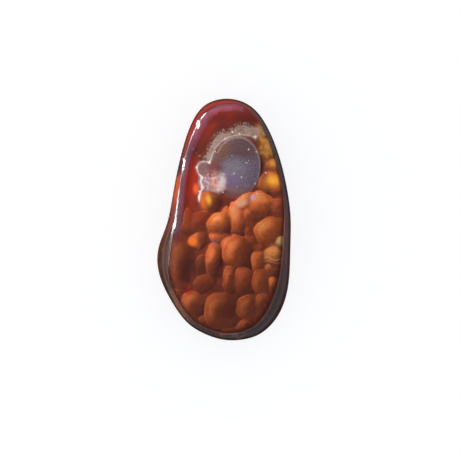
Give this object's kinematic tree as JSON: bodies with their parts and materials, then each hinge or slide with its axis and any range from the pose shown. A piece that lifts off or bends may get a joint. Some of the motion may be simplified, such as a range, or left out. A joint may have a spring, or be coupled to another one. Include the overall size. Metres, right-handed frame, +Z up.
{
  "type": "fire agate cabochon",
  "caption": "Free-form polished fire agate: flat ground back, low domed clear top over a layer of coppery brown bubbles, lying on its back.",
  "frame": {"origin": "under the middle of the stone's box, at the level of its flat back", "axes": "+Z up through the dome, +Y along the stone to its narrow end"},
  "size_m": [0.0108, 0.0194, 0.0055],
  "materials": {
    "chalcedony": "wet polish: clear brown-red chalcedony over coppery iridescent bubbles"
  },
  "bodies": {
    "root": {"fire_agate": "chalcedony"}
  },
  "joints": []
}
